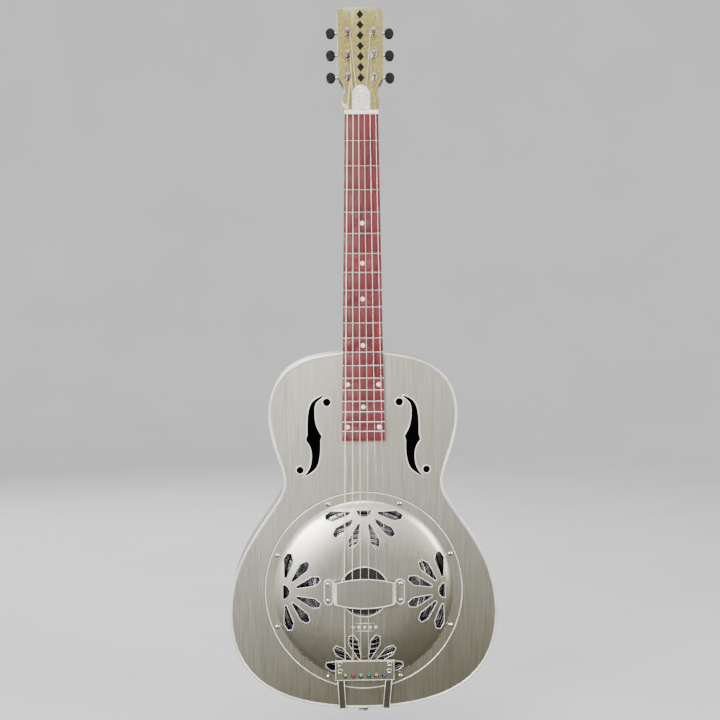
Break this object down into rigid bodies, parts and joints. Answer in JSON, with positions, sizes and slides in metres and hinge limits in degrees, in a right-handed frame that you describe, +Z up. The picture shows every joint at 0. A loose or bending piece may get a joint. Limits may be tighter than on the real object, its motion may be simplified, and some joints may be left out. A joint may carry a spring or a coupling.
{
  "type": "resonator guitar",
  "caption": "Metal-bodied resonator guitar with a pierced coverplate over a spun cone, a slim neck with frets and open-gear tuners that turn.",
  "frame": {"origin": "the nut line on the centre of the neck's face, where a neck hanger carries the guitar", "axes": "+Z up the neck to the headstock, -Y out of the playing side, +X to the treble side"},
  "size_m": [0.36, 0.112, 0.9597],
  "materials": {
    "nickel": "brushed, aged",
    "polished": "polished",
    "aluminium": "spun",
    "dark_wood": "satin, dark",
    "maple": "satin",
    "mahogany": "satin",
    "padauk": "oiled",
    "pearl": "pearlescent",
    "pale_pearl": "pearlescent",
    "bone": "satin",
    "bronze": "wound",
    "steel": "bright",
    "gun_metal": "dark polished",
    "brass": "polished"
  },
  "bodies": {
    "guitar": {"body_top": "nickel", "body_sides": "nickel", "body_back": "nickel", "sound_well": "nickel", "resonator_cone": "aluminium", "biscuit": "dark_wood", "saddle": "maple", "biscuit_screw": "steel", "coverplate": "nickel", "coverplate_screws": "polished", "hand_rest": "nickel", "hand_rest_screws": "polished", "tailpiece_plate": "nickel", "tailpiece_straps": "nickel", "tailpiece_rivets": "polished", "tail_screws": "polished", "strap_button": "polished", "neck": "mahogany", "neck_stick": "maple", "tail_block": "maple", "stick_posts": "maple", "fingerboard": "padauk", "fingerboard_wedge": "mahogany", "frets": "polished", "fret_markers": "bone", "nut": "bone", "headstock_overlay": "pearl", "truss_rod_cover": "pale_pearl", "headstock_screws": "polished", "truss_rod": "steel", "wound_strings": "bronze", "plain_strings": "steel", "string_ball_ends": "brass", "tuner_plates": "polished", "tuner_bushings": "polished"},
    "tuning_button_1": {"tuner_worm_1": "polished", "tuner_button_1": "gun_metal"},
    "string_post_1": {"tuner_post_1": "polished", "tuner_gear_1": "brass"},
    "tuning_button_2": {"tuner_worm_2": "polished", "tuner_button_2": "gun_metal"},
    "string_post_2": {"tuner_post_2": "polished", "tuner_gear_2": "brass"},
    "tuning_button_3": {"tuner_worm_3": "polished", "tuner_button_3": "gun_metal"},
    "string_post_3": {"tuner_post_3": "polished", "tuner_gear_3": "brass"},
    "tuning_button_4": {"tuner_worm_4": "polished", "tuner_button_4": "gun_metal"},
    "string_post_4": {"tuner_post_4": "polished", "tuner_gear_4": "brass"},
    "tuning_button_5": {"tuner_worm_5": "polished", "tuner_button_5": "gun_metal"},
    "string_post_5": {"tuner_post_5": "polished", "tuner_gear_5": "brass"},
    "tuning_button_6": {"tuner_worm_6": "polished", "tuner_button_6": "gun_metal"},
    "string_post_6": {"tuner_post_6": "polished", "tuner_gear_6": "brass"},
    "rod_nut": {"truss_rod_nut": "brass"}
  },
  "joints": [
    {"name": "button_turn_1", "type": "hinge", "parent": "guitar", "child": "tuning_button_1", "pos_m": [-0.0175, 0.03301, 0.05212], "axis": [1, 0, 0], "continuous": true},
    {"name": "post_turn_1", "type": "hinge", "parent": "guitar", "child": "string_post_1", "pos_m": [-0.0175, 0.03124, 0.04586], "axis": [0, -0.9622, 0.2723], "continuous": true},
    {"name": "button_turn_2", "type": "hinge", "parent": "guitar", "child": "tuning_button_2", "pos_m": [-0.0175, 0.0418, 0.0832], "axis": [1, 0, 0], "continuous": true},
    {"name": "post_turn_2", "type": "hinge", "parent": "guitar", "child": "string_post_2", "pos_m": [-0.0175, 0.04003, 0.07694], "axis": [0, -0.9622, 0.2723], "continuous": true},
    {"name": "button_turn_3", "type": "hinge", "parent": "guitar", "child": "tuning_button_3", "pos_m": [-0.0175, 0.0506, 0.11428], "axis": [1, 0, 0], "continuous": true},
    {"name": "post_turn_3", "type": "hinge", "parent": "guitar", "child": "string_post_3", "pos_m": [-0.0175, 0.04883, 0.10802], "axis": [0, -0.9622, 0.2723], "continuous": true},
    {"name": "button_turn_4", "type": "hinge", "parent": "guitar", "child": "tuning_button_4", "pos_m": [0.0175, 0.03301, 0.05212], "axis": [1, 0, 0], "continuous": true},
    {"name": "post_turn_4", "type": "hinge", "parent": "guitar", "child": "string_post_4", "pos_m": [0.0175, 0.03124, 0.04586], "axis": [0, 0.9622, -0.2723], "continuous": true},
    {"name": "button_turn_5", "type": "hinge", "parent": "guitar", "child": "tuning_button_5", "pos_m": [0.0175, 0.0418, 0.0832], "axis": [1, 0, 0], "continuous": true},
    {"name": "post_turn_5", "type": "hinge", "parent": "guitar", "child": "string_post_5", "pos_m": [0.0175, 0.04003, 0.07694], "axis": [0, 0.9622, -0.2723], "continuous": true},
    {"name": "button_turn_6", "type": "hinge", "parent": "guitar", "child": "tuning_button_6", "pos_m": [0.0175, 0.0506, 0.11428], "axis": [1, 0, 0], "continuous": true},
    {"name": "post_turn_6", "type": "hinge", "parent": "guitar", "child": "string_post_6", "pos_m": [0.0175, 0.04883, 0.10802], "axis": [0, 0.9622, -0.2723], "continuous": true},
    {"name": "rod_nut_turn", "type": "hinge", "parent": "guitar", "child": "rod_nut", "pos_m": [0, 0.00652, 0.0128], "axis": [0, 0.0314, 0.9995], "range_deg": [-180, 180]}
  ],
  "couplings": [
    {"joint": "post_turn_1", "follows": "button_turn_1", "ratio": 0.071429},
    {"joint": "post_turn_2", "follows": "button_turn_2", "ratio": 0.071429},
    {"joint": "post_turn_3", "follows": "button_turn_3", "ratio": 0.071429},
    {"joint": "post_turn_4", "follows": "button_turn_4", "ratio": 0.071429},
    {"joint": "post_turn_5", "follows": "button_turn_5", "ratio": 0.071429},
    {"joint": "post_turn_6", "follows": "button_turn_6", "ratio": 0.071429}
  ]
}
